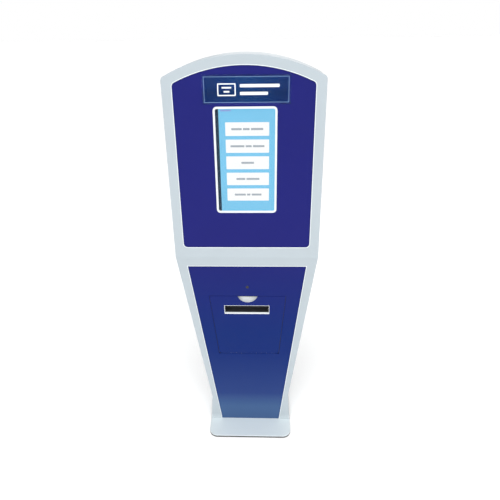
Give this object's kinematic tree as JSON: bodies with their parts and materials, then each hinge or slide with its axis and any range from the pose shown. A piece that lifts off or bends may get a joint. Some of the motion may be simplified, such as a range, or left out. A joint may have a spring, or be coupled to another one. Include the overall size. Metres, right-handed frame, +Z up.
{
  "type": "ticket vending machine",
  "caption": "Slim floor-standing queue-ticket kiosk: arched head with a portrait touch screen, tapering pedestal with a drop-down printer door and ticket slot, flat foot.",
  "frame": {"origin": "centre of the foot's footprint on the floor", "axes": "+Z up, the screen side faces -Y, +X to the right of a person who stands before the screen"},
  "size_m": [0.52, 0.4, 1.603],
  "materials": {
    "white_paint": "satin powder coat",
    "white_inner": "satin powder coat",
    "blue_acrylic": "polished acrylic",
    "white_trim": "semi-gloss",
    "steel": "zinc plated",
    "dark_paint": "satin powder coat",
    "ballast_steel": "primed",
    "black_plastic": "fine texture",
    "black_gloss": "glossy",
    "touch_glass": "clear",
    "clear_acrylic": "clear",
    "sign_blue": "printed",
    "aluminium": "black anodised",
    "circuit_green": "solder mask",
    "rubber": "moulded",
    "gear_ivory": "acetal",
    "brass": "machined",
    "paper": "thermal paper",
    "red_rocker": "glossy",
    "green_button": "glossy"
  },
  "bodies": {
    "root": {"foot_pan": "white_paint", "ballast_plate": "ballast_steel", "foot_pads": "rubber", "base_plate": "steel", "clamp_nuts": "steel", "front_frame": "white_paint", "head_panel": "blue_acrylic", "lower_panel": "blue_acrylic", "lower_carrier": "dark_paint", "head_shell": "white_paint", "pedestal_shell": "white_paint", "screen_trim": "white_trim", "touch_glass": "touch_glass", "lcd_module": "black_gloss", "lcd_bracket": "steel", "circuit_boards": "circuit_green", "mini_pc": "aluminium", "speaker": "black_plastic", "sign_print": "sign_blue", "sign_holder": "clear_acrylic", "door_hinge_fixed": "blue_acrylic", "door_hinge_pin": "steel", "lock_body": "black_gloss", "rear_hinges": "steel", "rear_gaskets": "rubber", "power_panel": "black_plastic", "printer_shelf": "steel", "printer_frame": "steel", "feed_motor": "aluminium", "cutter_block": "aluminium", "power_supply": "aluminium", "wiring_loom": "rubber", "fascia_screws": "steel"},
    "printer_door": {"door_hinge_moving": "blue_acrylic", "door_skin": "blue_acrylic", "door_tray": "white_inner", "finger_cup": "white_inner", "slot_liner": "white_inner", "ticket_mouth": "black_plastic"},
    "door_lock": {"lock_plug": "black_gloss", "lock_cam": "steel"},
    "lower_door": {"lower_rear_door": "white_paint", "lower_door_fittings": "steel"},
    "lower_lock": {"lower_lock_plug": "steel"},
    "head_door": {"head_rear_door": "white_paint", "head_door_fittings": "steel", "fan_housing": "black_plastic"},
    "head_lock": {"head_lock_plug": "steel"},
    "fan": {"fan_rotor": "black_plastic"},
    "rocker": {"power_rocker": "red_rocker"},
    "platen": {"platen_roller": "rubber", "platen_axle": "steel", "platen_gear": "gear_ivory"},
    "pinion": {"motor_pinion": "brass"},
    "cover": {"printer_cover": "black_plastic", "print_head": "aluminium"},
    "blade": {"cutter_blade": "steel"},
    "button": {"feed_button": "green_button"},
    "roll": {"roll_spindle": "white_trim", "paper_roll": "paper"}
  },
  "joints": [
    {"name": "printer_door_hinge", "type": "hinge", "parent": "root", "child": "printer_door", "pos_m": [0, -0.14123, 0.43618], "axis": [1, 0, 0], "range_deg": [0, 90]},
    {"name": "printer_door_lock", "type": "hinge", "parent": "root", "child": "door_lock", "pos_m": [0, -0.18257, 0.78176], "axis": [0, -0.9945, -0.1045], "range_deg": [-90, 0]},
    {"name": "lower_rear_door_hinge", "type": "hinge", "parent": "root", "child": "lower_door", "pos_m": [0.126, 0.03562, 0.51099], "axis": [0, 0.0882, -0.9961], "range_deg": [0, 110]},
    {"name": "lower_rear_door_lock", "type": "hinge", "parent": "lower_door", "child": "lower_lock", "pos_m": [-0.08, 0.03114, 0.5106], "axis": [0, 0.9961, 0.0882], "range_deg": [-90, 0]},
    {"name": "head_rear_door_hinge", "type": "hinge", "parent": "root", "child": "head_door", "pos_m": [0.196, -0.01716, 1.20378], "axis": [0, 0.0584, -0.9983], "range_deg": [0, 110]},
    {"name": "head_rear_door_lock", "type": "hinge", "parent": "head_door", "child": "head_lock", "pos_m": [-0.15, -0.02165, 1.20351], "axis": [0, 0.9983, 0.0584], "range_deg": [-90, 0]},
    {"name": "fan_spin", "type": "hinge", "parent": "head_door", "child": "fan", "pos_m": [0.06, -0.02778, 1.30833], "axis": [0, 0.9983, 0.0584], "continuous": true},
    {"name": "power_rocker_tilt", "type": "hinge", "parent": "root", "child": "rocker", "pos_m": [-0.035, 0.0651, 0.10987], "axis": [-1, 0, 0], "range_deg": [-16, 0]},
    {"name": "platen_spin", "type": "hinge", "parent": "root", "child": "platen", "pos_m": [0, -0.08529, 0.66585], "axis": [1, 0, 0], "continuous": true},
    {"name": "motor_spin", "type": "hinge", "parent": "root", "child": "pinion", "pos_m": [0.064, -0.06525, 0.64904], "axis": [1, 0, 0], "continuous": true},
    {"name": "printer_cover_hinge", "type": "hinge", "parent": "root", "child": "cover", "pos_m": [0, -0.02729, 0.68635], "axis": [-1, 0, 0], "range_deg": [0, 75]},
    {"name": "cutter_stroke", "type": "slide", "parent": "root", "child": "blade", "axis": [0, 0, -1], "range_m": [0, 0.007]},
    {"name": "feed_button_press", "type": "slide", "parent": "root", "child": "button", "axis": [0, 1, 0], "range_m": [0, 0.0012], "stiffness_N_per_m": 400},
    {"name": "paper_roll_spin", "type": "hinge", "parent": "root", "child": "roll", "pos_m": [0, -0.06729, 0.56635], "axis": [1, 0, 0], "continuous": true}
  ],
  "couplings": [
    {"joint": "motor_spin", "follows": "platen_spin", "ratio": -2.25}
  ]
}
